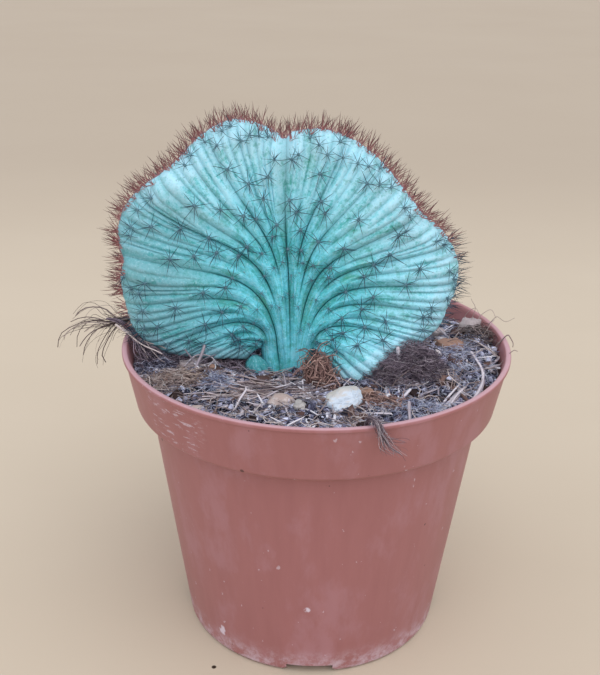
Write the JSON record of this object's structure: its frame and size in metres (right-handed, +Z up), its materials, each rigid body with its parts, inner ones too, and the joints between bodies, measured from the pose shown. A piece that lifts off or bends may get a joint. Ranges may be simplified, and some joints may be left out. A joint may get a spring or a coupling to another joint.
{
  "type": "potted crested cactus",
  "caption": "Crested cactus grown as a ribbed blue-green fan with a dark red spiny growing edge, in a tapered round plastic nursery pot filled with fibrous potting mix.",
  "frame": {"origin": "centre of the underside of the pot, on the surface that the pot stands on", "axes": "+Z up along the pot's axis; the fan's broad front faces -Y and its width runs along X"},
  "size_m": [0.1534, 0.1304, 0.1825],
  "materials": {
    "terracotta_plastic": "matt moulded plastic, terracotta brown with pale scuffs",
    "peat": "dark fibrous peat and coir, dry on top",
    "waxy_skin": "matt green skin under pale blue wax, with thin dark spines",
    "red_spines": "reddish brown spines with dark tips",
    "pale_stone": "dry matt stone",
    "tan_stone": "dry matt stone",
    "bark": "broken bark",
    "grey_bark": "weathered bark",
    "dark_bark": "damp bark",
    "straw": "dry plant stalk",
    "root_fibre": "dark dry root fibre",
    "coir": "matted brown coconut fibre"
  },
  "bodies": {
    "root": {"pot": "terracotta_plastic", "potting_mix": "peat", "crest_stem": "waxy_skin", "crest_spine_band": "red_spines", "white_stone": "pale_stone", "tan_stone": "tan_stone", "grey_stone": "pale_stone", "orange_bark_chip": "bark", "amber_bark_chip": "bark", "grey_bark_chunk": "grey_bark", "small_bark_chunk": "grey_bark", "dark_bark_strip": "dark_bark", "long_straw": "straw", "front_straw": "straw", "left_twig": "straw", "left_straw": "straw", "right_straw": "straw", "bent_stalk": "straw", "rim_straw": "straw", "white_peg": "straw", "left_root_tuft": "root_fibre", "front_root_tuft": "root_fibre", "coir_clump": "coir"}
  },
  "joints": []
}
